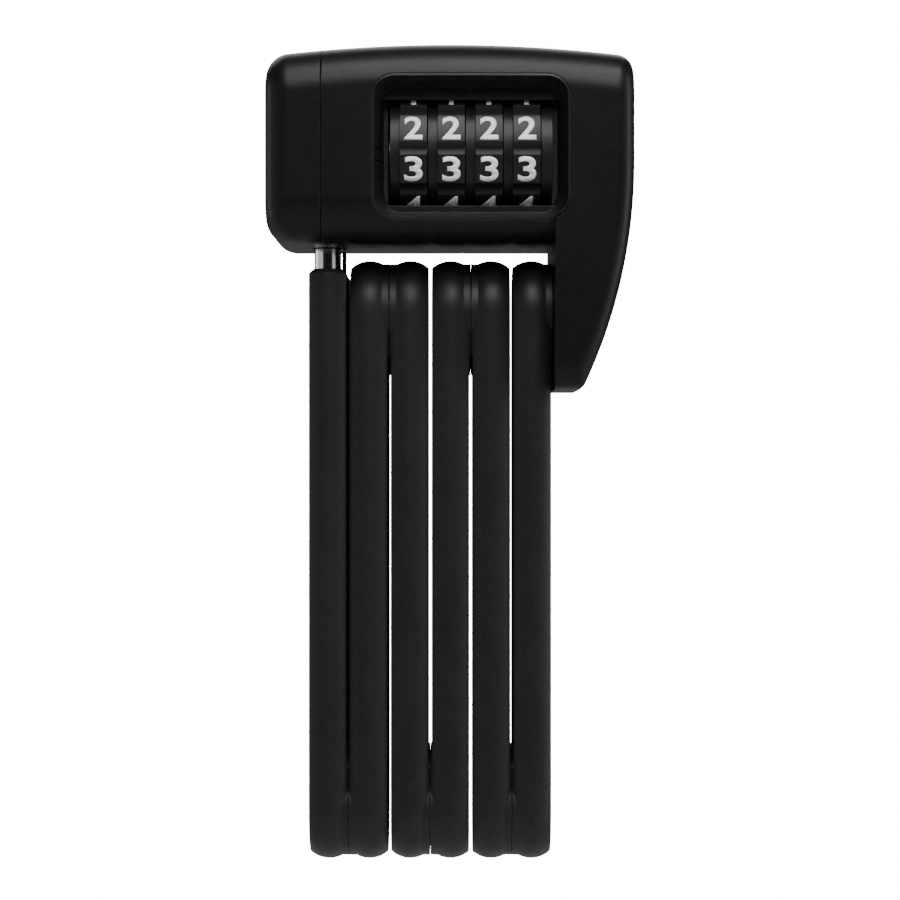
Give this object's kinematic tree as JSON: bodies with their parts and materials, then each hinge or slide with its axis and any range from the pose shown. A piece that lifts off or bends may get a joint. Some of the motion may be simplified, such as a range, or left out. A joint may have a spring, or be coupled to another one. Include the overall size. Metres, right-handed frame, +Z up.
{
  "type": "folding bike lock",
  "caption": "Folding bike lock: a head with number dials and a hooked arm, and flat sleeved links that swing on rivets and close into the head with a steel bolt.",
  "frame": {"origin": "centre of the lock's footprint, at the lowest point of the folded links", "axes": "+X from the bolt to the arm, the dials face -Y, +Z up along the folded links"},
  "size_m": [0.0668, 0.034, 0.15],
  "materials": {
    "black_cover": "fine satin",
    "black_sleeve": "soft satin",
    "black_lining": "smooth",
    "dial_black": "satin",
    "bright_steel": "polished",
    "plain_steel": "ground",
    "dark_screw": "blackened",
    "coated_zinc": "black-coated casting",
    "brass": "turned",
    "spring_steel": "blue-grey"
  },
  "bodies": {
    "head": {"front_cover": "black_cover", "rear_cover": "black_cover", "end_cap": "black_cover", "window_bezel": "black_lining", "lock_housing": "coated_zinc", "steel_arm": "plain_steel", "arm_screws": "dark_screw", "cover_screws": "dark_screw", "bolt_sleeve": "plain_steel", "end_spacer": "dial_black", "detent_spring": "spring_steel", "latch_cover": "plain_steel", "latch_cover_screws": "dark_screw", "latch_spring": "spring_steel", "spindle_spring": "spring_steel", "rivet_arm": "plain_steel", "washer_arm": "brass"},
    "spindle": {"dial_spindle": "brass"},
    "set_screw": {"code_set_screw": "dark_screw"},
    "latch": {"latch_plate": "plain_steel"},
    "link_6": {"link_6_plate": "plain_steel", "link_6_sleeve": "black_sleeve", "rivet_65": "plain_steel", "washer_65": "brass"},
    "link_5": {"link_5_plate": "plain_steel", "link_5_sleeve": "black_sleeve", "rivet_54": "plain_steel", "washer_54": "brass"},
    "link_4": {"link_4_plate": "plain_steel", "link_4_sleeve": "black_sleeve", "rivet_43": "plain_steel", "washer_43": "brass"},
    "link_3": {"link_3_plate": "plain_steel", "link_3_sleeve": "black_sleeve", "rivet_32": "plain_steel", "washer_32": "brass"},
    "link_2": {"link_2_plate": "plain_steel", "link_2_sleeve": "black_sleeve", "rivet_21": "plain_steel", "washer_21": "brass"},
    "link_1": {"link_1_plate": "plain_steel", "link_1_sleeve": "black_sleeve", "locking_bolt": "bright_steel", "bolt_cross_pin": "plain_steel"},
    "dial_1": {"number_ring_1": "dial_black", "code_hub_1": "dial_black"},
    "dial_2": {"number_ring_2": "dial_black", "code_hub_2": "dial_black"},
    "dial_3": {"number_ring_3": "dial_black", "code_hub_3": "dial_black"},
    "dial_4": {"number_ring_4": "dial_black", "code_hub_4": "dial_black"}
  },
  "joints": [
    {"name": "arm_hinge", "type": "hinge", "parent": "head", "child": "link_6", "pos_m": [0.01519, 0, 0.10165], "axis": [1, 0, 0], "range_deg": [0, 72]},
    {"name": "hinge_65", "type": "hinge", "parent": "link_6", "child": "link_5", "pos_m": [0.00769, 0, 0.00975], "axis": [1, 0, 0], "range_deg": [-180, 0]},
    {"name": "hinge_54", "type": "hinge", "parent": "link_5", "child": "link_4", "pos_m": [0.00019, 0, 0.10165], "axis": [1, 0, 0], "range_deg": [0, 108]},
    {"name": "hinge_43", "type": "hinge", "parent": "link_4", "child": "link_3", "pos_m": [-0.00731, 0, 0.00975], "axis": [1, 0, 0], "range_deg": [0, 108]},
    {"name": "hinge_32", "type": "hinge", "parent": "link_3", "child": "link_2", "pos_m": [-0.01481, 0, 0.10165], "axis": [1, 0, 0], "range_deg": [-180, 0]},
    {"name": "hinge_21", "type": "hinge", "parent": "link_2", "child": "link_1", "pos_m": [-0.02231, 0, 0.00975], "axis": [1, 0, 0], "range_deg": [0, 72]},
    {"name": "dial_1", "type": "hinge", "parent": "head", "child": "dial_1", "pos_m": [-0.0065, -0.0034, 0.1304], "axis": [1, 0, 0], "continuous": true, "deforming": ["detent_spring"]},
    {"name": "dial_2", "type": "hinge", "parent": "head", "child": "dial_2", "pos_m": [0.00033, -0.0034, 0.1304], "axis": [1, 0, 0], "continuous": true},
    {"name": "dial_3", "type": "hinge", "parent": "head", "child": "dial_3", "pos_m": [0.00716, -0.0034, 0.1304], "axis": [1, 0, 0], "continuous": true},
    {"name": "dial_4", "type": "hinge", "parent": "head", "child": "dial_4", "pos_m": [0.01399, -0.0034, 0.1304], "axis": [1, 0, 0], "continuous": true},
    {"name": "latch_slide", "type": "slide", "parent": "head", "child": "latch", "axis": [0, 1, 0], "range_m": [-0.0016, 0], "stiffness_N_per_m": 300, "springref_m": 0.0015, "deforming": ["latch_spring"]},
    {"name": "code_set", "type": "hinge", "parent": "head", "child": "set_screw", "pos_m": [-0.031, -0.0034, 0.1304], "axis": [1, 0, 0], "range_deg": [0, 90]},
    {"name": "spindle_slide", "type": "slide", "parent": "head", "child": "spindle", "axis": [1, 0, 0], "range_m": [0, 0.0012], "deforming": ["spindle_spring"]}
  ],
  "couplings": [
    {"joint": "hinge_65", "follows": "arm_hinge", "ratio": -2.5},
    {"joint": "hinge_54", "follows": "arm_hinge", "ratio": 1.5},
    {"joint": "hinge_43", "follows": "arm_hinge", "ratio": 1.5},
    {"joint": "hinge_32", "follows": "arm_hinge", "ratio": -2.5},
    {"joint": "hinge_21", "follows": "arm_hinge", "ratio": 1},
    {"joint": "code_set", "follows": "spindle_slide", "rad_per_m": 1309}
  ]
}
